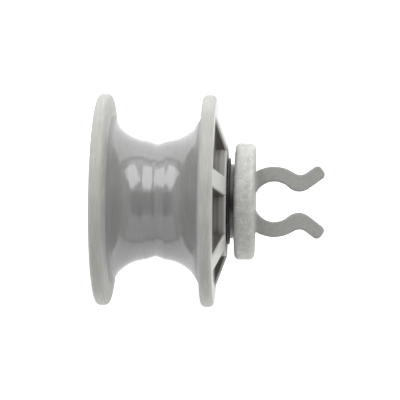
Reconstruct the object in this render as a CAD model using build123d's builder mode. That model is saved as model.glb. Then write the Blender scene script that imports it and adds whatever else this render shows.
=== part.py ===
"""Clip-on reel insulator for a round fence post.

A moulded spool turns freely on a steel axle.  The axle is bolted to a round
foot plate whose two spring arms snap round a 10 mm post.

Frame: the origin is the centre of the post seat, halfway up the clip.
+Z runs up the post, +X points out through the clip's mouth, and the spool
lies along -X.  Lengths are in millimetres.
"""
from build123d import *
from math import asin, cos, degrees, radians, sin, sqrt
import os

# ---- driving dimensions: post clip ------------------------------------
SEAT_RADIUS = 4.8            # free bore, a snap fit on a 10 mm post
ARM_THICKNESS = 3.4
CLIP_DEPTH = 13.0            # length of the arms along the post
THROAT_GAP = 5.0             # narrowest width between the arms
BUMP_RADIUS = 3.8            # inner rounding where each arm turns outward
FLARE_ANGLE = 36.5           # lead-in of the mouth, from +X
FLARE_LENGTH = 5.05          # straight stretch of the lead-in
FLARE_THICKNESS = 3.3
TIP_ROUNDING = 1.2
NOTCH_ROUNDING = 2.4
ARM_ROOT_FILLET = 1.2

PLATE_RADIUS = 13.7
PLATE_THICKNESS = 4.7
PLATE_FACE = -4.5            # face towards the post; the seat bites into it
PLATE_ROUNDING = 1.2

# ---- driving dimensions: washers and axle -----------------------------
COLLAR_RADIUS = 8.75
COLLAR_THICKNESS = 1.2
SLIP_WASHER_RADIUS = 10.15
SLIP_WASHER_THICKNESS = 0.45
END_PLAY = 0.15              # axial clearance at each end of the spool

BOLT_RADIUS = 2.5            # M5
BOLT_LENGTH = 30.0
BOLT_HEAD_HEIGHT = 3.5
BOLT_HEAD_FLATS = 8.0
BOLT_TIP_CHAMFER = 0.5
WASHER_HOLE_RADIUS = 2.65
HEAD_WASHER_RADIUS = 7.5
HEAD_WASHER_THICKNESS = 1.2
SPRING_WASHER_RADIUS = 4.6
SPRING_WASHER_THICKNESS = 1.2
SPRING_WASHER_SLIT = 0.9
SLEEVE_RADIUS = 4.0
SLEEVE_BORE_RADIUS = 2.55
RUNNING_CLEARANCE = 0.05     # radial, sleeve in spool bore

INSERT_RADIUS = 3.6
INSERT_GROOVE_RADIUS = 3.1
INSERT_LENGTH = 4.0
INSERT_FLOOR = 0.5           # closed end of the threaded insert
KNURL_SIDES = 18

# ---- driving dimensions: spool ----------------------------------------
FLANGE_RADIUS = 25.0
SPOOL_WIDTH = 27.75          # over the outer faces of both flanges
FLANGE_THICKNESS = 3.0
RIM_ROUNDING = 1.2
HUB_LENGTH = 2.85            # stands out from the inner flange
HUB_RADIUS = 13.0
WAIST_RADIUS = 14.0
WAIST_ARC_RADIUS = 9.4       # sweep from the waist up to the flanges
WAIST_ARC_OFFSET = 1.65      # of the arc centres from the middle
FLANK_START = 10.4           # where the sweep meets the flange flank
WIRE_GROOVE_RADIUS = 13.2    # bottom of the small centre groove
WIRE_GROOVE_HALF_WIDTH = 2.3
WIRE_GROOVE_ROUNDING = 1.5

RIB_COUNT = 6
FIRST_RIB_ANGLE = 15.0       # from +Z towards +Y, at rest
RIB_THICKNESS = 4.3
RIB_FOOT_RADIUS = 21.2       # at the flange
RIB_TOP_RADIUS = 13.2        # at the hub's end
RIB_BURIAL = 0.5             # how far a rib runs into the flange

AXLE_RECESS_RADIUS = 8.5     # holds the bolt head in the outer face
AXLE_RECESS_DEPTH = 8.3
POCKET_INNER_RADIUS = 11.2   # weight-saving pockets of the outer face
POCKET_MOUTH_RADIUS = 16.4
POCKET_FLOOR_RADIUS = 13.2
POCKET_DEPTH = 7.0
POCKET_ARC = 42.0            # degrees taken by each of the six pockets

CAP_CLEARANCE = 0.05
CAP_RECESS = 0.25
CAP_THICKNESS = 1.6
CAP_SKIRT_THICKNESS = 1.0
CAP_SKIRT_LENGTH = 1.8
CAP_ROUNDING = 0.4

NEARNESS = 0.01              # for picking edges by their place

# ---- positions along the axle, from the post seat outward -------------
plate_back = PLATE_FACE - PLATE_THICKNESS
collar_end = plate_back - COLLAR_THICKNESS
slip_washer_end = collar_end - SLIP_WASHER_THICKNESS
hub_end = slip_washer_end - END_PLAY
inner_flange_face = hub_end - HUB_LENGTH
outer_flange_face = inner_flange_face - SPOOL_WIDTH
spool_middle = inner_flange_face - SPOOL_WIDTH / 2
recess_floor = outer_flange_face + AXLE_RECESS_DEPTH
sleeve_outer_end = recess_floor - END_PLAY
head_washer_end = sleeve_outer_end - HEAD_WASHER_THICKNESS
spring_washer_end = head_washer_end - SPRING_WASHER_THICKNESS

rib_angles = [FIRST_RIB_ANGLE + i * 360 / RIB_COUNT for i in range(RIB_COUNT)]
pocket_angles = [angle + 180 / RIB_COUNT for angle in rib_angles]


def radial_plane(angle):
    """Plane through the axle; its y axis leans by angle from +Z towards +Y."""
    a = radians(angle)
    return Plane(origin=(0, 0, 0), x_dir=(1, 0, 0), z_dir=(0, -cos(a), sin(a)))


def cross_plane(x):
    """Plane square to the axle at x, facing +X."""
    return Plane.YZ.offset(x)


def washer(start, end, outer_radius, inner_radius):
    """Plain washer or tube between two places on the axle."""
    with BuildPart() as blank:
        with BuildSketch(cross_plane(start)):
            Circle(outer_radius)
            Circle(inner_radius, mode=Mode.SUBTRACT)
        extrude(amount=end - start)
    return blank.part


def pocket(angle):
    """Tapered pocket of the outer face, its middle at angle round the axle."""
    floor = outer_flange_face + POCKET_DEPTH
    with BuildPart() as cutter:
        with BuildSketch(radial_plane(angle + POCKET_ARC / 2)):
            Polygon(
                (outer_flange_face, POCKET_INNER_RADIUS),
                (outer_flange_face, POCKET_MOUTH_RADIUS),
                (floor, POCKET_FLOOR_RADIUS),
                (floor, POCKET_INNER_RADIUS),
                align=None,
            )
        revolve(axis=Axis.X, revolution_arc=POCKET_ARC)
    return cutter.part


# ---- spool ------------------------------------------------------------
arc_centre_radius = WAIST_RADIUS + WAIST_ARC_RADIUS
groove_reach = WIRE_GROOVE_HALF_WIDTH - WAIST_ARC_OFFSET
flank_reach = FLANK_START - WAIST_ARC_OFFSET
groove_edge_radius = arc_centre_radius - sqrt(WAIST_ARC_RADIUS**2 - groove_reach**2)
sweep_start = degrees(asin(groove_reach / WAIST_ARC_RADIUS)) - 90
sweep_end = degrees(asin(flank_reach / WAIST_ARC_RADIUS)) - 90
half_width = SPOOL_WIDTH / 2

with BuildPart() as spool:
    # section of one half, from the middle of the waist to the outer face
    with BuildSketch(Plane((spool_middle, 0, 0))) as section:
        with BuildLine():
            Line((0, 0), (0, WIRE_GROOVE_RADIUS))
            Line((0, WIRE_GROOVE_RADIUS), (WIRE_GROOVE_HALF_WIDTH, groove_edge_radius))
            waist_sweep = CenterArc(
                (WAIST_ARC_OFFSET, arc_centre_radius),
                WAIST_ARC_RADIUS,
                sweep_start,
                sweep_end - sweep_start,
            )
            Polyline(
                waist_sweep @ 1,
                (half_width - FLANGE_THICKNESS, FLANGE_RADIUS),
                (half_width, FLANGE_RADIUS),
                (half_width, 0),
                (0, 0),
            )
        make_face()
        mirror(about=Plane.YZ)
        fillet(section.vertices().group_by(Axis.Y)[-1], RIM_ROUNDING)
        groove_bottom = section.vertices().sort_by_distance((0, WIRE_GROOVE_RADIUS))[0]
        fillet(groove_bottom, WIRE_GROOVE_ROUNDING)
    revolve(axis=Axis.X)

    # hub and gussets on the flange that faces the post
    with BuildSketch(cross_plane(inner_flange_face)):
        Circle(HUB_RADIUS)
    extrude(amount=HUB_LENGTH)
    for angle in rib_angles:
        with BuildSketch(radial_plane(angle)):
            Polygon(
                (inner_flange_face - RIB_BURIAL, 0),
                (inner_flange_face - RIB_BURIAL, RIB_FOOT_RADIUS),
                (inner_flange_face, RIB_FOOT_RADIUS),
                (hub_end, RIB_TOP_RADIUS),
                (hub_end, 0),
                align=None,
            )
        extrude(amount=RIB_THICKNESS / 2, both=True)

    # bore for the sleeve, recess for the bolt head
    with BuildSketch(cross_plane(outer_flange_face)):
        Circle(SLEEVE_RADIUS + RUNNING_CLEARANCE)
    extrude(amount=SPOOL_WIDTH + HUB_LENGTH, mode=Mode.SUBTRACT)
    with BuildSketch(cross_plane(outer_flange_face)):
        Circle(AXLE_RECESS_RADIUS)
    extrude(amount=AXLE_RECESS_DEPTH, mode=Mode.SUBTRACT)

    for angle in pocket_angles:
        add(pocket(angle), mode=Mode.SUBTRACT)

# ---- cap over the bolt head -------------------------------------------
cap_face = outer_flange_face + CAP_RECESS
cap_radius = AXLE_RECESS_RADIUS - CAP_CLEARANCE

with BuildPart() as bolt_cap:
    with BuildSketch(cross_plane(cap_face)):
        Circle(cap_radius)
    extrude(amount=CAP_THICKNESS + CAP_SKIRT_LENGTH)
    with BuildSketch(cross_plane(cap_face + CAP_THICKNESS)):
        Circle(cap_radius - CAP_SKIRT_THICKNESS)
    extrude(amount=CAP_SKIRT_LENGTH, mode=Mode.SUBTRACT)
    fillet(bolt_cap.edges().group_by(Axis.X)[0], CAP_ROUNDING)

# ---- axle: bolt, washers, sleeve --------------------------------------
with BuildPart() as axle_bolt:
    with BuildSketch(cross_plane(spring_washer_end - BOLT_HEAD_HEIGHT)):
        RegularPolygon(BOLT_HEAD_FLATS / 2, 6, major_radius=False)
    extrude(amount=BOLT_HEAD_HEIGHT)
    with BuildSketch(cross_plane(spring_washer_end)):
        Circle(BOLT_RADIUS)
    extrude(amount=BOLT_LENGTH)
    chamfer(axle_bolt.edges().group_by(Axis.X)[-1], BOLT_TIP_CHAMFER)

with BuildPart() as spring_washer:
    add(washer(spring_washer_end, head_washer_end, SPRING_WASHER_RADIUS, WASHER_HOLE_RADIUS))
    with BuildSketch(cross_plane(spring_washer_end)):
        with Locations((0, SPRING_WASHER_RADIUS / 2)):
            Rectangle(SPRING_WASHER_SLIT, SPRING_WASHER_RADIUS + SPRING_WASHER_SLIT)
    extrude(amount=SPRING_WASHER_THICKNESS, mode=Mode.SUBTRACT)

with BuildPart() as head_washer:
    add(washer(head_washer_end, sleeve_outer_end, HEAD_WASHER_RADIUS, WASHER_HOLE_RADIUS))

with BuildPart() as axle_sleeve:
    add(washer(sleeve_outer_end, slip_washer_end, SLEEVE_RADIUS, SLEEVE_BORE_RADIUS))

with BuildPart() as slip_washer:
    add(washer(slip_washer_end, collar_end, SLIP_WASHER_RADIUS, WASHER_HOLE_RADIUS))

with BuildPart() as spacer_collar:
    add(washer(collar_end, plate_back, COLLAR_RADIUS, WASHER_HOLE_RADIUS))

# ---- threaded insert, moulded into the foot plate ---------------------
with BuildPart() as insert_envelope:
    with BuildSketch(cross_plane(plate_back)):
        RegularPolygon(INSERT_RADIUS, KNURL_SIDES)
    extrude(amount=INSERT_LENGTH)
    with BuildSketch(cross_plane(plate_back + INSERT_LENGTH / 3)):
        Circle(2 * INSERT_RADIUS)
        Circle(INSERT_GROOVE_RADIUS, mode=Mode.SUBTRACT)
    extrude(amount=INSERT_LENGTH / 3, mode=Mode.SUBTRACT)

with BuildPart() as threaded_insert:
    add(insert_envelope.part)
    with BuildSketch(cross_plane(plate_back)):
        Circle(BOLT_RADIUS)
    extrude(amount=INSERT_LENGTH - INSERT_FLOOR, mode=Mode.SUBTRACT)

# ---- clip: foot plate and the two spring arms -------------------------
flare_angle = radians(FLARE_ANGLE)
arm_outer_radius = SEAT_RADIUS + ARM_THICKNESS
bump_height = THROAT_GAP / 2 + BUMP_RADIUS
bump_x = sqrt((SEAT_RADIUS + BUMP_RADIUS) ** 2 - bump_height**2)
bump_angle = degrees(asin(bump_height / (SEAT_RADIUS + BUMP_RADIUS)))
flare_start = Vector(bump_x, bump_height) + Vector(sin(flare_angle), -cos(flare_angle)) * BUMP_RADIUS
flare_run = Vector(cos(flare_angle), sin(flare_angle))
flare_rise = Vector(-sin(flare_angle), cos(flare_angle))
inner_tip = flare_start + flare_run * FLARE_LENGTH
outer_tip = inner_tip + flare_rise * FLARE_THICKNESS
# the outer side of the lead-in runs back until it meets the arm's outer circle
across = outer_tip.dot(flare_rise)
notch = flare_run * sqrt(arm_outer_radius**2 - across**2) + flare_rise * across
notch_angle = degrees(asin(notch.Y / arm_outer_radius))

with BuildPart() as post_clip:
    with BuildSketch(cross_plane(plate_back)):
        Circle(PLATE_RADIUS)
    extrude(amount=PLATE_THICKNESS)
    fillet(post_clip.edges().filter_by(GeomType.CIRCLE), PLATE_ROUNDING)
    # the post's seat grazes the plate's face
    with BuildSketch(Plane.XY.offset(-PLATE_RADIUS)):
        Circle(SEAT_RADIUS)
    extrude(amount=2 * PLATE_RADIUS, mode=Mode.SUBTRACT)
    with BuildSketch(Plane.XY.offset(-CLIP_DEPTH / 2)) as arms:
        with BuildLine():
            Line((-arm_outer_radius, 0), (-SEAT_RADIUS, 0))
            CenterArc((0, 0), SEAT_RADIUS, 180, bump_angle - 180)
            CenterArc(
                (bump_x, bump_height),
                BUMP_RADIUS,
                bump_angle - 180,
                90 - bump_angle + FLARE_ANGLE,
            )
            Polyline(flare_start, inner_tip, outer_tip, notch)
            CenterArc((0, 0), arm_outer_radius, notch_angle, 180 - notch_angle)
        make_face()
        tip_corners = arms.vertices().sort_by(Axis.X)[-2:]
        fillet(tip_corners, TIP_ROUNDING)
        notch_corner = arms.vertices().sort_by_distance(notch)[0]
        fillet(notch_corner, NOTCH_ROUNDING)
        mirror(about=Plane.XZ)
    extrude(amount=CLIP_DEPTH)
    arm_roots = (
        post_clip.edges()
        .filter_by(Axis.Z)
        .filter_by_position(Axis.X, PLATE_FACE - NEARNESS, PLATE_FACE + NEARNESS)
        .sort_by(Axis.Y)
    )
    fillet([arm_roots[0], arm_roots[-1]], ARM_ROOT_FILLET)
    add(insert_envelope.part, mode=Mode.SUBTRACT)

# ---- files ------------------------------------------------------------
os.makedirs("parts", exist_ok=True)
pieces = {
    "spool": spool,
    "bolt_cap": bolt_cap,
    "axle_bolt": axle_bolt,
    "spring_washer": spring_washer,
    "head_washer": head_washer,
    "axle_sleeve": axle_sleeve,
    "slip_washer": slip_washer,
    "spacer_collar": spacer_collar,
    "threaded_insert": threaded_insert,
    "post_clip": post_clip,
}
for name, piece in pieces.items():
    piece.part.label = name
    export_step(piece.part, f"parts/{name}.step")
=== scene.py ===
"""Clip-on reel insulator lying on a white studio floor, seen from above.

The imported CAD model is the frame.  The visible mouldings are rebuilt here as
finer meshes in the same place, and every surface gets a procedural material.
Outlines are worked out in millimetres and written as metres.
"""
import bmesh
import bpy
from math import asin, atan2, ceil, cos, degrees, hypot, pi, radians, sin, sqrt, tan
from mathutils import Matrix, Vector, noise


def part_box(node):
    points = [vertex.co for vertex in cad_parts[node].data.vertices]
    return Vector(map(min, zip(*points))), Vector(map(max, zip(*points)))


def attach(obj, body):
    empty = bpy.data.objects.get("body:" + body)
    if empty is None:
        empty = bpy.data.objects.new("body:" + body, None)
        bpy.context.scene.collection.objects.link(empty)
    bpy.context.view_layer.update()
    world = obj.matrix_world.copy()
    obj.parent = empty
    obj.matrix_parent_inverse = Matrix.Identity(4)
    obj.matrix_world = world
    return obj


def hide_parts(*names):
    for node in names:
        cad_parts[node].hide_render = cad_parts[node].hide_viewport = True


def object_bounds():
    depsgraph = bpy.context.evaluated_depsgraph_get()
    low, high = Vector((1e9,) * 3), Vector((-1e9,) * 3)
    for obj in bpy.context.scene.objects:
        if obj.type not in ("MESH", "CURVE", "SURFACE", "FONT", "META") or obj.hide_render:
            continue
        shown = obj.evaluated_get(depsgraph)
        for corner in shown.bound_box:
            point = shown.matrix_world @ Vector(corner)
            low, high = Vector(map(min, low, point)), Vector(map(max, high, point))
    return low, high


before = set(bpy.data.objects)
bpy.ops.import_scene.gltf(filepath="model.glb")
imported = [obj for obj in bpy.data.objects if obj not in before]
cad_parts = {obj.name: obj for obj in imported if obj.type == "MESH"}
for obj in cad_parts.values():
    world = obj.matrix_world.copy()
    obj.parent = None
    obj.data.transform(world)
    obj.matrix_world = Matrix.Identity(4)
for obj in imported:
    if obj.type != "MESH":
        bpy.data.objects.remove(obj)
cad_box = [list(corner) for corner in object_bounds()]

MM = 0.001
TINY = 1e-7                  # metres; points nearer than this are one point
TENT_LIGHT = 0.65            # radiance of the white surround
OVERHEAD_LIGHT = 0.04
FLOOR_LIGHT = 0.72
FLOOR_HALF_SIDE = 1.5        # metres
FLOOR_GAP = 0.02             # millimetres under the object
TENT_TOP = 45.0              # degrees from the zenith where the surround starts to fade
TENT_HOLE = 30.0             # and where it has faded out

WAIST_GREY = (0.245, 0.245, 0.243)
HUB_GREY = (0.34, 0.34, 0.335)
# painted light: paler grey for the ribs' lit edges
RIB_LIT_GREY = (0.55, 0.55, 0.53)
# partly painted light: the rims' paler, warmer grey
RIM_GREY = (0.41, 0.41, 0.385)
# painted shade, brown, for the corners between the ribs
PAINTED_SHADE_BROWN = (0.09, 0.08, 0.065)
PLATE_GREY = (0.53, 0.53, 0.507)
# painted shade: darker grey for the clip's arms
ARM_SHADE_GREY = (0.315, 0.315, 0.30)
CAP_GREY = (0.42, 0.42, 0.41)
COLLAR_BLACK = (0.062, 0.062, 0.056)
SLIP_BLACK = (0.02, 0.02, 0.018)
ZINC_GREY = (0.62, 0.63, 0.64)
BRASS_YELLOW = (0.78, 0.6, 0.3)

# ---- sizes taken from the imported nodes, in millimetres -----------------


def node_box_mm(node):
    """Lowest and highest corner of a CAD node, in millimetres."""
    low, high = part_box(node)
    return low / MM, high / MM


spool_low, spool_high = node_box_mm("spool")
clip_low, clip_high = node_box_mm("post_clip")
collar_low, collar_high = node_box_mm("spacer_collar")
slip_low, slip_high = node_box_mm("slip_washer")

OUTER_FACE = spool_low.x
HUB_END = spool_high.x
FLANGE_RADIUS = spool_high.z
PLATE_BACK = clip_low.x
PLATE_RADIUS = clip_high.z

# ---- sizes of the spool, as in the CAD model ---------------------------
SPOOL_WIDTH = 27.75
FLANGE_THICKNESS = 3.0
RIM_ROUNDING = 1.2
HUB_RADIUS = 13.0
WAIST_RADIUS = 14.0
WAIST_ARC_RADIUS = 9.4
WAIST_ARC_OFFSET = 1.65
FLANK_START = 10.4
WIRE_GROOVE_RADIUS = 13.2
WIRE_GROOVE_HALF_WIDTH = 2.3
WIRE_GROOVE_ROUNDING = 1.5
BORE_RADIUS = 4.05
HUB_ROUNDING = 0.4
HUB_LIP = 1.4                # strip at the hub's end left without painted shade
RECESS_RADIUS = 8.5
RECESS_DEPTH = 8.3
EDGE = 0.35                  # small rounding of moulded edges

RIB_COUNT = 6
FIRST_RIB_ANGLE = 15.0
RIB_THICKNESS = 4.3
RIB_FOOT_RADIUS = 21.2
RIB_TOP_RADIUS = 13.2
POCKET_INNER_RADIUS = 11.2
POCKET_MOUTH_RADIUS = 16.4
POCKET_FLOOR_RADIUS = 13.2
POCKET_DEPTH = 7.0
POCKET_ARC = 42.0
POCKET_ROUNDING = 0.6

# ---- sizes of the clip -------------------------------------------------
SEAT_RADIUS = 4.8
ARM_THICKNESS = 3.4
CLIP_DEPTH = 13.0
THROAT_GAP = 5.0
BUMP_RADIUS = 3.8
FLARE_ANGLE = 36.5
FLARE_LENGTH = 5.05
FLARE_THICKNESS = 3.3
TIP_ROUNDING = 1.2
NOTCH_ROUNDING = 2.4
PLATE_THICKNESS = 4.7
PLATE_ROUNDING = 1.2

# ---- the clip's cast surface -------------------------------------------
SKIN_GRID = 0.22             # mesh size
WAVE_SIZE = 2.2
GRAIN_SIZE = 0.8
SKIN_HEIGHT = 0.05           # of the waves and of the grains
ARM_SHARE = 0.35             # how uneven the arms are against the plate
FADE_START = 0.5             # before the plate's face
FADE_LENGTH = 0.8

# ---- zones of the spool's finish ---------------------------------------
GLOSS_RADIUS = 17.2          # the waist is glossy up to here
MATTE_RADIUS = 19.5          # and matte from here
RIM_ZONE_RADIUS = 21.0       # the pale rims start here

# ---- small round pieces ------------------------------------------------
BOLT_HOLE_RADIUS = 2.65
COLLAR_EDGE = 0.15
SLIP_EDGE = 0.1

INNER_FLANGE_FACE = OUTER_FACE + SPOOL_WIDTH
HUB_LENGTH = HUB_END - INNER_FLANGE_FACE
SPOOL_MIDDLE = OUTER_FACE + SPOOL_WIDTH / 2
PLATE_FACE = PLATE_BACK + PLATE_THICKNESS
SEGMENTS = 240               # round the spool
SMALL_SEGMENTS = 160         # round the smaller pieces
SINK = 1.0                   # how far a joined shape reaches into its neighbour


# ---- outlines ----------------------------------------------------------


def arc(cx, cy, radius, start, end, step=4.0):
    """Points on an arc, angles in degrees, both ends included."""
    count = max(2, ceil(abs(end - start) / step))
    angles = [radians(start + (end - start) * i / count) for i in range(count + 1)]
    return [(cx + radius * cos(a), cy + radius * sin(a)) for a in angles]


def rounded(corners, step=12.0):
    """Closed outline from (x, y, radius) corners, each corner replaced by its arc."""
    points = []
    count = len(corners)
    for i, (x, y, radius) in enumerate(corners):
        before = Vector(corners[i - 1][:2])
        after = Vector(corners[(i + 1) % count][:2])
        here = Vector((x, y))
        if radius == 0:
            points.append((x, y))
            continue
        back = (before - here).normalized()
        on = (after - here).normalized()
        half = back.angle(on) / 2
        centre = here + (back + on).normalized() * radius / sin(half)
        start = here + back * radius / tan(half)
        end = here + on * radius / tan(half)
        a0 = atan2(start.y - centre.y, start.x - centre.x)
        a1 = atan2(end.y - centre.y, end.x - centre.x)
        turn = (a1 - a0 + pi) % (2 * pi) - pi
        points += arc(centre.x, centre.y, radius, degrees(a0), degrees(a0 + turn), step)
    return points


def sharp(points):
    """Points of a curve as corners that stay as they are."""
    return [(x, y, 0) for x, y in points]


# ---- meshes ------------------------------------------------------------


def new_piece(name, mesh_data):
    """Object from a bmesh, linked to the scene, in metres."""
    mesh = bpy.data.meshes.new(name)
    bmesh.ops.recalc_face_normals(mesh_data, faces=mesh_data.faces)
    mesh_data.to_mesh(mesh)
    mesh_data.free()
    piece = bpy.data.objects.new(name, mesh)
    bpy.context.scene.collection.objects.link(piece)
    return piece


def revolved(name, outline, segments=SEGMENTS):
    """Closed (x, radius) outline turned about the X axis; radius 0 makes a pole."""
    data = bmesh.new()
    rings = []
    for x, radius in outline:
        if radius < 1e-6:
            rings.append([data.verts.new((x * MM, 0, 0))])
            continue
        ring = []
        for i in range(segments):
            a = 2 * pi * i / segments
            ring.append(data.verts.new((x * MM, radius * MM * sin(a), radius * MM * cos(a))))
        rings.append(ring)
    count = len(rings)
    for i in range(count):
        first, second = rings[i], rings[(i + 1) % count]
        if len(first) == 1 and len(second) == 1:
            continue
        for k in range(segments):
            m = (k + 1) % segments
            corners = [first[k % len(first)], first[m % len(first)]]
            corners += [second[m % len(second)], second[k % len(second)]]
            unique = list(dict.fromkeys(corners))
            data.faces.new(unique)
    return new_piece(name, data)


def extruded(name, outline, low, high, edge, place=Matrix.Identity(4)):
    """Outline in x and y drawn from low to high along z, its end edges rounded."""
    data = bmesh.new()
    bottom = [data.verts.new(place @ Vector((x * MM, y * MM, low * MM))) for x, y in outline]
    top = [data.verts.new(place @ Vector((x * MM, y * MM, high * MM))) for x, y in outline]
    count = len(outline)
    data.faces.new(bottom[::-1])
    data.faces.new(top)
    for i in range(count):
        k = (i + 1) % count
        data.faces.new((bottom[i], bottom[k], top[k], top[i]))
    bmesh.ops.recalc_face_normals(data, faces=data.faces)
    if edge:
        ends = [e for e in data.edges if e.verts[0] in bottom and e.verts[1] in bottom]
        ends += [e for e in data.edges if e.verts[0] in top and e.verts[1] in top]
        bmesh.ops.bevel(
            data, geom=ends, offset=edge * MM, segments=3, profile=0.5, affect="EDGES", clamp_overlap=True
        )
    return new_piece(name, data)


def combine(target, tool, operation):
    """Target becomes its union with the tool, or the tool is cut out of it."""
    cut = target.modifiers.new("combine", "BOOLEAN")
    cut.operation = operation
    cut.object = tool
    cut.solver = "EXACT"
    evaluated = target.evaluated_get(bpy.context.evaluated_depsgraph_get())
    mesh = bpy.data.meshes.new_from_object(evaluated)
    target.modifiers.remove(cut)
    old = target.data
    target.data = mesh
    bpy.data.meshes.remove(old)
    bpy.data.objects.remove(tool)


def smooth(piece, sharp_angle=32.0):
    """Smooth shading with crisp edges where faces meet at more than sharp_angle."""
    data = bmesh.new()
    data.from_mesh(piece.data)
    bmesh.ops.remove_doubles(data, verts=data.verts, dist=TINY)
    bmesh.ops.dissolve_degenerate(data, edges=data.edges, dist=TINY)
    for face in data.faces:
        face.smooth = True
    for edge in data.edges:
        edge.smooth = len(edge.link_faces) == 2 and edge.calc_face_angle(0) < radians(sharp_angle)
    data.to_mesh(piece.data)
    data.free()
    weighted = piece.modifiers.new("weighted normals", "WEIGHTED_NORMAL")
    weighted.keep_sharp = True


# ---- spool -------------------------------------------------------------


def waist_half():
    """Outline of the waist from the groove to one flange, x measured from the middle."""
    centre = WAIST_RADIUS + WAIST_ARC_RADIUS
    groove_reach = WIRE_GROOVE_HALF_WIDTH - WAIST_ARC_OFFSET
    flank_reach = FLANK_START - WAIST_ARC_OFFSET
    start = degrees(asin(groove_reach / WAIST_ARC_RADIUS)) - 90
    end = degrees(asin(flank_reach / WAIST_ARC_RADIUS)) - 90
    return arc(WAIST_ARC_OFFSET, centre, WAIST_ARC_RADIUS, start, end, step=2.0)


def spool_outline():
    """Section of the spool above its axle, bore and bolt recess included."""
    half = waist_half()
    right = [(SPOOL_MIDDLE + x, r) for x, r in half]
    left = [(SPOOL_MIDDLE - x, r) for x, r in reversed(half)]
    inner_edge = SPOOL_WIDTH / 2 - FLANGE_THICKNESS
    corners = [(HUB_END, BORE_RADIUS, EDGE), (HUB_END, HUB_RADIUS, HUB_ROUNDING)]
    corners += [(INNER_FLANGE_FACE, HUB_RADIUS, 2 * EDGE)]
    corners += [(INNER_FLANGE_FACE, FLANGE_RADIUS, RIM_ROUNDING)]
    corners += [(SPOOL_MIDDLE + inner_edge, FLANGE_RADIUS, RIM_ROUNDING)]
    corners += sharp(reversed(right))
    corners += [(SPOOL_MIDDLE, WIRE_GROOVE_RADIUS, WIRE_GROOVE_ROUNDING)]
    corners += sharp(reversed(left))
    corners += [(SPOOL_MIDDLE - inner_edge, FLANGE_RADIUS, RIM_ROUNDING)]
    corners += [(OUTER_FACE, FLANGE_RADIUS, RIM_ROUNDING)]
    corners += [(OUTER_FACE, RECESS_RADIUS, EDGE)]
    corners += [(OUTER_FACE + RECESS_DEPTH, RECESS_RADIUS, EDGE)]
    corners += [(OUTER_FACE + RECESS_DEPTH, BORE_RADIUS, EDGE)]
    return rounded(corners)


def round_the_axle(angle):
    """Turns a shape drawn in x and radius so that it leans by angle from +Z towards +Y."""
    a = radians(angle)
    return Matrix(((1, 0, 0, 0), (0, sin(a), -cos(a), 0), (0, cos(a), sin(a), 0), (0, 0, 0, 1)))


def make_spool():
    """Turned reel with its ribs joined on and its pockets cut out."""
    spool = revolved("reel_moulding", spool_outline())
    rib_outline = rounded(
        [
            (INNER_FLANGE_FACE - SINK, RIB_FOOT_RADIUS, 0),
            (INNER_FLANGE_FACE, RIB_FOOT_RADIUS, 0),
            (HUB_END, RIB_TOP_RADIUS, EDGE),
            (HUB_END, HUB_RADIUS - 2 * SINK, 0),
            (INNER_FLANGE_FACE - SINK, HUB_RADIUS - 2 * SINK, 0),
        ]
    )
    for i in range(RIB_COUNT):
        turn = round_the_axle(FIRST_RIB_ANGLE + i * 360 / RIB_COUNT)
        rib = extruded("rib", rib_outline, -RIB_THICKNESS / 2, RIB_THICKNESS / 2, EDGE, turn)
        combine(spool, rib, "UNION")
    for i in range(RIB_COUNT):
        angle = FIRST_RIB_ANGLE + (i + 0.5) * 360 / RIB_COUNT
        combine(spool, pocket_cutter(angle), "DIFFERENCE")
    smooth(spool)
    return spool


def pocket_cutter(angle):
    """Tapered wedge that cuts one pocket into the outer face."""
    data = bmesh.new()
    steps = 14
    layers = ((OUTER_FACE - SINK, POCKET_MOUTH_RADIUS), (OUTER_FACE + POCKET_DEPTH, POCKET_FLOOR_RADIUS))
    rings = []
    for x, outer_radius in layers:
        ring = []
        for i in range(steps + 1):
            a = radians(angle - POCKET_ARC / 2 + POCKET_ARC * i / steps)
            ring.append((x, outer_radius * sin(a), outer_radius * cos(a)))
        for i in range(steps, -1, -1):
            a = radians(angle - POCKET_ARC / 2 + POCKET_ARC * i / steps)
            ring.append((x, POCKET_INNER_RADIUS * sin(a), POCKET_INNER_RADIUS * cos(a)))
        rings.append([data.verts.new(Vector(p) * MM) for p in ring])
    mouth, floor = rings
    data.faces.new(mouth)
    data.faces.new(floor[::-1])
    for i in range(len(mouth)):
        k = (i + 1) % len(mouth)
        data.faces.new((mouth[i], floor[i], floor[k], mouth[k]))
    bmesh.ops.recalc_face_normals(data, faces=data.faces)
    uprights = [e for e in data.edges if len(set(e.verts) & set(mouth)) == 1]
    corners = [e for e in uprights if e.calc_face_angle(0) > radians(50)]
    bmesh.ops.bevel(data, geom=corners, offset=POCKET_ROUNDING * MM, segments=3, profile=0.5, affect="EDGES")
    return new_piece("pocket", data)


# ---- clip --------------------------------------------------------------


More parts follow.
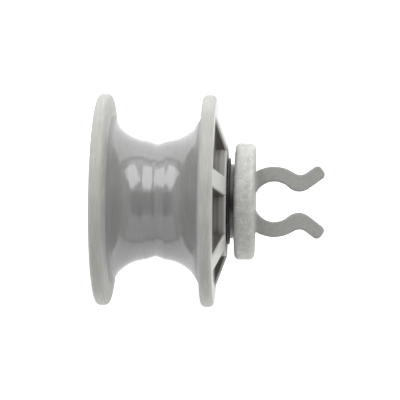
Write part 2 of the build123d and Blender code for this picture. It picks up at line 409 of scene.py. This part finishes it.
def arm_outline():
    """Outline of both arms in x and y, from the plate round each tip."""
    flare = radians(FLARE_ANGLE)
    outer_radius = SEAT_RADIUS + ARM_THICKNESS
    bump_y = THROAT_GAP / 2 + BUMP_RADIUS
    reach = SEAT_RADIUS + BUMP_RADIUS
    bump_x = sqrt(reach**2 - bump_y**2)
    bump_angle = degrees(asin(bump_y / reach))
    run = Vector((cos(flare), sin(flare)))
    rise = Vector((-sin(flare), cos(flare)))
    flare_start = Vector((bump_x, bump_y)) - rise * BUMP_RADIUS
    inner_tip = flare_start + run * FLARE_LENGTH
    outer_tip = inner_tip + rise * FLARE_THICKNESS
    across = outer_tip.dot(rise)
    notch = run * sqrt(outer_radius**2 - across**2) + rise * across
    notch_angle = degrees(atan2(notch.y, notch.x))
    root_angle = 180 - degrees(asin(sqrt(outer_radius**2 - PLATE_FACE**2) / outer_radius))

    upper = sharp(arc(0, 0, SEAT_RADIUS, 180, bump_angle, 3.0))
    upper += sharp(arc(bump_x, bump_y, BUMP_RADIUS, bump_angle - 180, FLARE_ANGLE - 90, 4.0)[1:])
    upper += [(*inner_tip, TIP_ROUNDING), (*outer_tip, TIP_ROUNDING), (*notch, NOTCH_ROUNDING)]
    outer = arc(0, 0, outer_radius, notch_angle, root_angle, 3.0)
    # the notch's rounding takes the place of the arc's first four points
    upper += sharp(outer[4:])
    upper += [(PLATE_FACE - 1.5 * SINK, outer[-1][1], 0)]
    lower = [(x, -y, radius) for x, y, radius in reversed(upper)]
    # the first seat point lies on the x axis and belongs to both arms
    return rounded(upper + lower[:-1], step=6.0)


def make_clip():
    """Round foot plate with both arms, as one casting."""
    plate_outline = rounded(
        [
            (PLATE_BACK, 0, 0),
            (PLATE_BACK, PLATE_RADIUS, PLATE_ROUNDING),
            (PLATE_FACE, PLATE_RADIUS, PLATE_ROUNDING),
            (PLATE_FACE, 0, 0),
        ],
        step=9.0,
    )
    clip = revolved("foot_clip", plate_outline, SMALL_SEGMENTS)
    arms = extruded("arms", arm_outline(), -CLIP_DEPTH / 2, CLIP_DEPTH / 2, EDGE)
    combine(clip, arms, "UNION")
    cast_skin(clip)
    return clip


def cast_skin(piece):
    """Fine even mesh whose surface is uneven like a rough casting."""
    skin = piece.modifiers.new("skin", "REMESH")
    skin.mode = "VOXEL"
    skin.voxel_size = SKIN_GRID * MM
    evaluated = piece.evaluated_get(bpy.context.evaluated_depsgraph_get())
    mesh = bpy.data.meshes.new_from_object(evaluated)
    piece.modifiers.remove(skin)
    old = piece.data
    piece.data = mesh
    bpy.data.meshes.remove(old)
    data = bmesh.new()
    data.from_mesh(mesh)
    bmesh.ops.smooth_vert(
        data, verts=data.verts, factor=0.5, use_axis_x=True, use_axis_y=True, use_axis_z=True
    )
    data.normal_update()
    elsewhere = Vector((9, 0, 0))
    moves = []
    for vert in data.verts:
        place = vert.co / MM
        waves = noise.noise(place / WAVE_SIZE) * SKIN_HEIGHT
        grains = noise.noise(place / GRAIN_SIZE + elsewhere) * SKIN_HEIGHT
        on_plate = min(1, max(0, (PLATE_FACE + FADE_START - place.x) / FADE_LENGTH))
        share = ARM_SHARE + (1 - ARM_SHARE) * on_plate
        moves.append(vert.normal * (waves + grains) * share * MM)
    for vert, move in zip(data.verts, moves):
        vert.co += move
    for face in data.faces:
        face.smooth = True
    data.to_mesh(mesh)
    data.free()


# ---- small round pieces ------------------------------------------------


def make_ring(name, low, high, radius, bore, edge):
    """Flat ring round the axle from x low to x high, its edges rounded."""
    outline = rounded([(low, bore, edge), (low, radius, edge), (high, radius, edge), (high, bore, edge)])
    piece = revolved(name, outline, SMALL_SEGMENTS)
    smooth(piece)
    return piece


# ---- materials ---------------------------------------------------------


class Finish:
    """A principled material and short ways to add nodes to it.

    Patterns are laid out in object coordinates, in millimetres of the model.
    """

    def __init__(self, name, color, roughness):
        self.material = bpy.data.materials.new(name)
        self.material.use_nodes = True
        self.nodes = self.material.node_tree.nodes
        self.links = self.material.node_tree.links
        self.shader = self.nodes["Principled BSDF"]
        self.shader.inputs["Base Color"].default_value = (*color, 1)
        self.shader.inputs["Roughness"].default_value = roughness
        place = self.nodes.new("ShaderNodeTexCoord")
        scale = self.nodes.new("ShaderNodeVectorMath")
        scale.operation = "SCALE"
        scale.inputs["Scale"].default_value = 1 / MM
        self.links.new(place.outputs["Object"], scale.inputs[0])
        self.place = scale.outputs[0]
        self.relief = None

    def set(self, **sockets):
        """Constant values set straight on the shader's sockets."""
        for name, value in sockets.items():
            self.shader.inputs[name.replace("_", " ")].default_value = value

    def noise(self, size, detail=3.0, rough=0.5, stretch=(1, 1, 1), offset=0.0):
        """Noise with features of about size millimetres, from 0 to 1."""
        map_node = self.nodes.new("ShaderNodeMapping")
        map_node.inputs["Scale"].default_value = [s / size for s in stretch]
        map_node.inputs["Location"].default_value = (offset, offset, offset)
        self.links.new(self.place, map_node.inputs["Vector"])
        node = self.nodes.new("ShaderNodeTexNoise")
        node.inputs["Scale"].default_value = 1.0
        node.inputs["Detail"].default_value = detail
        node.inputs["Roughness"].default_value = rough
        self.links.new(map_node.outputs[0], node.inputs["Vector"])
        return node.outputs["Fac"]

    def span(self, value, low, high, to_low=0.0, to_high=1.0):
        """Value from low..high mapped to to_low..to_high and held there."""
        node = self.nodes.new("ShaderNodeMapRange")
        node.inputs["From Min"].default_value = low
        node.inputs["From Max"].default_value = high
        node.inputs["To Min"].default_value = to_low
        node.inputs["To Max"].default_value = to_high
        self.links.new(value, node.inputs["Value"])
        return node.outputs["Result"]

    def axial(self):
        """Place along the axle and distance from it, in millimetres."""
        split = self.nodes.new("ShaderNodeSeparateXYZ")
        self.links.new(self.place, split.inputs["Vector"])
        across = self.nodes.new("ShaderNodeVectorMath")
        across.operation = "MULTIPLY"
        across.inputs[1].default_value = (0, 1, 1)
        self.links.new(self.place, across.inputs[0])
        length = self.nodes.new("ShaderNodeVectorMath")
        length.operation = "LENGTH"
        self.links.new(across.outputs[0], length.inputs[0])
        return split.outputs["X"], length.outputs["Value"]

    def weighted(self, first, weight, second):
        """First times weight, plus second."""
        node = self.nodes.new("ShaderNodeMath")
        node.operation = "MULTIPLY_ADD"
        self.links.new(first, node.inputs[0])
        node.inputs[1].default_value = weight
        self.links.new(second, node.inputs[2])
        return node.outputs[0]

    def product(self, first, second):
        """First times second."""
        node = self.nodes.new("ShaderNodeMath")
        node.operation = "MULTIPLY"
        self.links.new(first, node.inputs[0])
        self.links.new(second, node.inputs[1])
        return node.outputs[0]

    def tint(self, amount, color, strength=1.0):
        """Mixes color over the base colour by amount."""
        base = self.shader.inputs["Base Color"]
        mix = self.nodes.new("ShaderNodeMix")
        mix.data_type = "RGBA"
        mix.inputs["A"].default_value = base.default_value
        if base.is_linked:
            self.links.new(base.links[0].from_socket, mix.inputs["A"])
        mix.inputs["B"].default_value = (*color, 1)
        self.links.new(self.span(amount, 0, 1, 0, strength), mix.inputs["Factor"])
        self.links.new(mix.outputs["Result"], base)

    def rough(self, value, low, high):
        """Roughness follows value, from low to high."""
        self.links.new(self.span(value, 0, 1, low, high), self.shader.inputs["Roughness"])

    def bump(self, height, depth):
        """Surface relief of depth millimetres, added to the relief so far."""
        node = self.nodes.new("ShaderNodeBump")
        node.inputs["Strength"].default_value = 1.0
        node.inputs["Distance"].default_value = depth * MM
        self.links.new(height, node.inputs["Height"])
        if self.relief:
            self.links.new(self.relief, node.inputs["Normal"])
        self.relief = node.outputs["Normal"]
        self.links.new(self.relief, self.shader.inputs["Normal"])


def glossy_grey(name, color):
    """Injection-moulded plastic: faint clouds and specks, soft orange peel."""
    finish = Finish(name, color, 0.3)
    finish.set(Specular_IOR_Level=1.0)
    clouds = finish.noise(9.0, 4.0)
    finish.tint(finish.span(clouds, 0.35, 0.7), [c * 0.9 for c in color], 0.8)
    specks = finish.noise(0.5, 2.0)
    finish.tint(finish.span(specks, 0.62, 0.75), [c * 0.8 for c in color], 0.5)
    finish.rough(finish.noise(2.5, 5.0, 0.6), 0.05, 0.16)
    finish.bump(finish.noise(1.6, 2.0), 0.02)
    finish.bump(finish.noise(0.25, 2.0), 0.003)
    return finish


def turned(finish, color, strength):
    """Faint lines round the axle, lighter and darker than the colour."""
    rings = finish.noise(0.5, 2.0, stretch=(3, 0.1, 0.1))
    finish.tint(finish.span(rings, 0.55, 0.7), [c * 1.25 for c in color], strength)
    finish.tint(finish.span(rings, 0.45, 0.3), [c * 0.78 for c in color], strength)


def waist_finish():
    """Glossy waist with faint flow lines, turning pale and matte towards the rims."""
    finish = glossy_grey("waist plastic", WAIST_GREY)
    turned(finish, WAIST_GREY, 0.3)
    _, out = finish.axial()
    # partly painted light: the flank blends into the rims' paler, warmer grey
    finish.tint(finish.span(out, MATTE_RADIUS, RIM_ZONE_RADIUS), RIM_GREY)
    matte = finish.span(out, GLOSS_RADIUS, MATTE_RADIUS)
    gloss = finish.span(finish.noise(2.5, 5.0, 0.6), 0, 1, 0.07, 0.18)
    finish.links.new(finish.weighted(matte, 0.4, gloss), finish.shader.inputs["Roughness"])
    return finish.material


def rim_finish():
    """Paler, warmer rims, turned after moulding; their warmth and part of their paleness is painted light,
    for light glowing through the thin rims.
    """
    finish = Finish("rim plastic", RIM_GREY, 0.45)
    finish.set(Specular_IOR_Level=0.3)
    clouds = finish.noise(5.0, 4.0)
    finish.tint(finish.span(clouds, 0.35, 0.7), [c * 0.88 for c in RIM_GREY], 0.7)
    turned(finish, RIM_GREY, 0.6)
    finish.rough(finish.noise(1.5, 3.0), 0.38, 0.55)
    finish.bump(finish.noise(0.4, 2.0, stretch=(2, 0.2, 0.2)), 0.01)
    return finish.material


def face_finish():
    """Satin faces, hub and ribs, with painted shade in the corners between the ribs and on the hub, and
    painted light on the ribs' edges.
    """
    finish = Finish("face plastic", HUB_GREY, 0.4)
    finish.set(Specular_IOR_Level=0.5)
    along, out = finish.axial()
    clouds = finish.noise(6.0, 4.0)
    finish.tint(finish.span(clouds, 0.35, 0.7), [c * 0.86 for c in HUB_GREY], 0.7)
    # how far out a point stands against the sloping edges of the ribs
    slope = (RIB_FOOT_RADIUS - RIB_TOP_RADIUS) / HUB_LENGTH
    edge = RIB_TOP_RADIUS + slope * HUB_END
    reach = finish.weighted(along, slope, out)
    behind = finish.span(along, INNER_FLANGE_FACE - 0.3, INNER_FLANGE_FACE - 0.1)
    beyond_hub = finish.span(out, HUB_RADIUS - 0.3, HUB_RADIUS + 0.3)
    ribs = finish.product(behind, beyond_hub)
    # painted shade: the hub between the ribs is painted darker, except for a strip at its end
    sunk = finish.span(along, HUB_END - HUB_LIP, HUB_END - HUB_LIP - 0.4)
    round_hub = finish.product(sunk, finish.span(out, HUB_RADIUS + 0.6, HUB_RADIUS + 0.2))
    # painted light: the ribs and the flange's back are painted paler, so the ribs' sloping edges look lit
    finish.tint(ribs, RIB_LIT_GREY)
    finish.tint(finish.product(behind, round_hub), [c * 0.6 for c in HUB_GREY], 0.85)
    # painted shade: brown in the corners between the ribs and on their sides, a little weaker on the
    # flange's face
    off_flange = finish.span(along, INNER_FLANGE_FACE + 0.1, INNER_FLANGE_FACE + 0.5, 0.88, 1.0)
    corners = finish.product(finish.span(reach, edge - 1.2, edge - 2.0), off_flange)
    finish.tint(finish.product(ribs, corners), PAINTED_SHADE_BROWN, 0.97)
    finish.rough(finish.noise(1.2, 4.0), 0.32, 0.5)
    finish.bump(finish.noise(0.7, 3.0), 0.012)
    return finish.material


def clip_finish():
    """Plastic with a fine cast texture and light flecks, smoother on the arms, which carry painted shade
    that makes them darker than the plate.
    """
    color = PLATE_GREY
    finish = Finish("clip plastic", color, 0.55)
    along, _ = finish.axial()
    # painted shade: the arms are painted darker than the plate, though both are one casting
    finish.tint(finish.span(along, PLATE_FACE - 0.6, PLATE_FACE + 1.0), ARM_SHADE_GREY)
    blotches = finish.noise(1.3, 4.0, 0.6)
    finish.tint(finish.span(blotches, 0.35, 0.65), [c * 0.7 for c in ARM_SHADE_GREY], 0.35)
    on_plate = finish.span(along, PLATE_FACE + 0.6, PLATE_FACE - 0.3, 0.12, 1.0)
    flecks = finish.noise(0.55, 3.0, 0.6, offset=7.0)
    finish.tint(finish.product(on_plate, finish.span(flecks, 0.55, 0.68)), [c * 1.4 for c in color], 0.55)
    pits = finish.noise(0.5, 3.0, 0.6, offset=3.0)
    finish.tint(finish.product(on_plate, finish.span(pits, 0.56, 0.7)), [c * 0.5 for c in color], 0.6)
    finish.rough(finish.noise(0.8, 3.0), 0.42, 0.7)
    finish.bump(finish.noise(0.9, 3.0, 0.6), 0.08)
    finish.bump(finish.noise(0.3, 2.0), 0.02)
    return finish.material


def dark_rubber(name, color, roughness):
    """Dark plastic or rubber with faint turned rings."""
    finish = Finish(name, color, roughness)
    finish.set(Specular_IOR_Level=0.9)
    rings = finish.noise(0.6, 3.0, stretch=(3, 0.3, 0.3))
    finish.tint(finish.span(rings, 0.45, 0.7), [c * 2.5 for c in color], 0.7)
    finish.rough(finish.noise(0.6, 3.0), roughness, roughness + 0.2)
    finish.bump(rings, 0.01)
    return finish.material


def metal(name, color, roughness):
    """Turned or rolled metal with fine scratches and faint staining."""
    finish = Finish(name, color, roughness)
    finish.set(Metallic=1.0)
    finish.tint(finish.span(finish.noise(3.0, 4.0), 0.4, 0.7), [c * 0.75 for c in color], 0.6)
    finish.rough(finish.noise(0.8, 4.0, stretch=(6, 1, 1)), roughness - 0.1, roughness + 0.15)
    finish.bump(finish.noise(0.15, 2.0, stretch=(4, 1, 1)), 0.004)
    return finish.material


def paint(piece, material):
    """Gives a piece its only material."""
    piece.data.materials.clear()
    piece.data.materials.append(material)


def paint_zones(spool, rim_material, face_material):
    """Gives the spool's rims, and everything outside its two flanges, their own finish."""
    spool.data.materials.append(rim_material)
    spool.data.materials.append(face_material)
    for face in spool.data.polygons:
        x, y, z = face.center / MM
        out = hypot(y, z)
        between = OUTER_FACE + 0.5 * EDGE < x < INNER_FLANGE_FACE - 0.5 * EDGE
        waist_top = RIM_ZONE_RADIUS if between else FLANGE_RADIUS - RIM_ROUNDING
        if out > waist_top:
            face.material_index = 1
        elif not between or out < WIRE_GROOVE_RADIUS - 0.5:
            face.material_index = 2


def paint_node(node, material):
    """Gives a CAD node that stays visible its material."""
    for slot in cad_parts[node].material_slots:
        slot.material = material


def show(piece, node, body, material):
    """Puts a finished piece in the place of a CAD node."""
    paint(piece, material)
    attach(piece, body)
    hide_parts(node)


# ---- light, floor and camera -------------------------------------------


def area_light(name, place, target, width, height, power):
    """Rectangular light at place, facing target, unseen by the camera."""
    data = bpy.data.lights.new(name, "AREA")
    data.shape = "RECTANGLE"
    data.size, data.size_y = width, height
    data.energy = power
    light = bpy.data.objects.new(name, data)
    bpy.context.scene.collection.objects.link(light)
    light.location = place
    light.rotation_mode = "QUATERNION"
    light.rotation_quaternion = (Vector(target) - Vector(place)).to_track_quat("-Z", "Y")
    light.visible_camera = False
    return light


def make_floor():
    """White floor just under the object, bright enough to burn out."""
    data = bmesh.new()
    half = FLOOR_HALF_SIDE
    corners = [(-half, -half), (half, -half), (half, half), (-half, half)]
    data.faces.new([data.verts.new((x, y, cad_box[0][2] - FLOOR_GAP * MM)) for x, y in corners])
    floor = new_piece("studio_floor", data)
    finish = Finish("white sweep", (0.8, 0.8, 0.8), 0.9)
    finish.set(Emission_Color=(1, 1, 1, 1), Emission_Strength=FLOOR_LIGHT)
    finish.bump(finish.noise(3.0), 0.01)
    paint(floor, finish.material)


def make_world():
    """White tent all round, dark at its opening overhead."""
    world = bpy.data.worlds.new("studio")
    world.use_nodes = True
    nodes, links = world.node_tree.nodes, world.node_tree.links
    background = nodes["Background"]
    background.inputs["Color"].default_value = (1, 1, 1, 1)
    place = nodes.new("ShaderNodeTexCoord")
    split = nodes.new("ShaderNodeSeparateXYZ")
    fade = nodes.new("ShaderNodeMapRange")
    fade.inputs["From Min"].default_value = cos(radians(TENT_TOP))
    fade.inputs["From Max"].default_value = cos(radians(TENT_HOLE))
    fade.inputs["To Min"].default_value = TENT_LIGHT
    fade.inputs["To Max"].default_value = OVERHEAD_LIGHT
    links.new(place.outputs["Generated"], split.inputs["Vector"])
    links.new(split.outputs["Z"], fade.inputs["Value"])
    links.new(fade.outputs["Result"], background.inputs["Strength"])
    bpy.context.scene.world = world


def panel(name, elevation, azimuth, distance, width, height, radiance):
    """Soft light panel facing the object, placed by its direction in degrees."""
    up, round_ = radians(elevation), radians(azimuth)
    centre = Vector((SPOOL_MIDDLE * MM, 0, 0))
    way = Vector((cos(up) * sin(round_), cos(up) * cos(round_), sin(up)))
    power = radiance * pi * width * height
    return area_light(name, centre + way * distance, centre, width, height, power)


def make_camera():
    """Long lens above the object, standing slightly to the clip's side."""
    distance = 461 * MM
    place = Vector((3.7 * MM, 0, distance))
    target = Vector((-17.5 * MM, 0.17 * MM, 0))
    width_in_view = 94.3 * MM
    roll = radians(0.85)
    back = (place - target).normalized()
    side = Vector((0, 1, 0)).cross(back).normalized()
    up = back.cross(side)
    turn = Matrix((side, up, back)).transposed() @ Matrix.Rotation(roll, 3, "Z")
    data = bpy.data.cameras.new("camera")
    data.sensor_width = 36.0
    data.lens = data.sensor_width * (place - target).length / width_in_view
    data.clip_start = 0.01
    camera = bpy.data.objects.new("camera", data)
    camera.matrix_world = Matrix.Translation(place) @ turn.to_4x4()
    bpy.context.scene.collection.objects.link(camera)
    bpy.context.scene.camera = camera


bpy.context.scene.view_settings.view_transform = "Standard"
make_camera()
make_world()
make_floor()
panel("key", elevation=40, azimuth=0, distance=0.5, width=0.86, height=0.65, radiance=0.9)
for azimuth in (-37, 37):
    panel("hot core", 35, azimuth, distance=0.5, width=0.26, height=0.36, radiance=2.4)
panel("fill", elevation=33, azimuth=180, distance=0.5, width=0.86, height=0.5, radiance=0.42)

cap_plastic = glossy_grey("cap plastic", CAP_GREY).material
clip_plastic = clip_finish()
collar_plastic = dark_rubber("collar", COLLAR_BLACK, roughness=0.2)
washer_plastic = dark_rubber("slip washer", SLIP_BLACK, roughness=0.45)
zinc = metal("zinc plated steel", ZINC_GREY, roughness=0.35)
brass = metal("brass", BRASS_YELLOW, roughness=0.3)

spool = make_spool()
show(spool, "spool", "reel", waist_finish())
paint_zones(spool, rim_finish(), face_finish())
show(make_clip(), "post_clip", "foot", clip_plastic)
collar = make_ring(
    "collar_ring", collar_low.x, collar_high.x, collar_high.z, BOLT_HOLE_RADIUS, COLLAR_EDGE
)
show(collar, "spacer_collar", "foot", collar_plastic)
slip = make_ring("slip_ring", slip_low.x, slip_high.x, slip_high.z, BOLT_HOLE_RADIUS, SLIP_EDGE)
show(slip, "slip_washer", "foot", washer_plastic)
paint_node("bolt_cap", cap_plastic)
for node in ("axle_bolt", "spring_washer", "head_washer", "axle_sleeve"):
    paint_node(node, zinc)
paint_node("threaded_insert", brass)
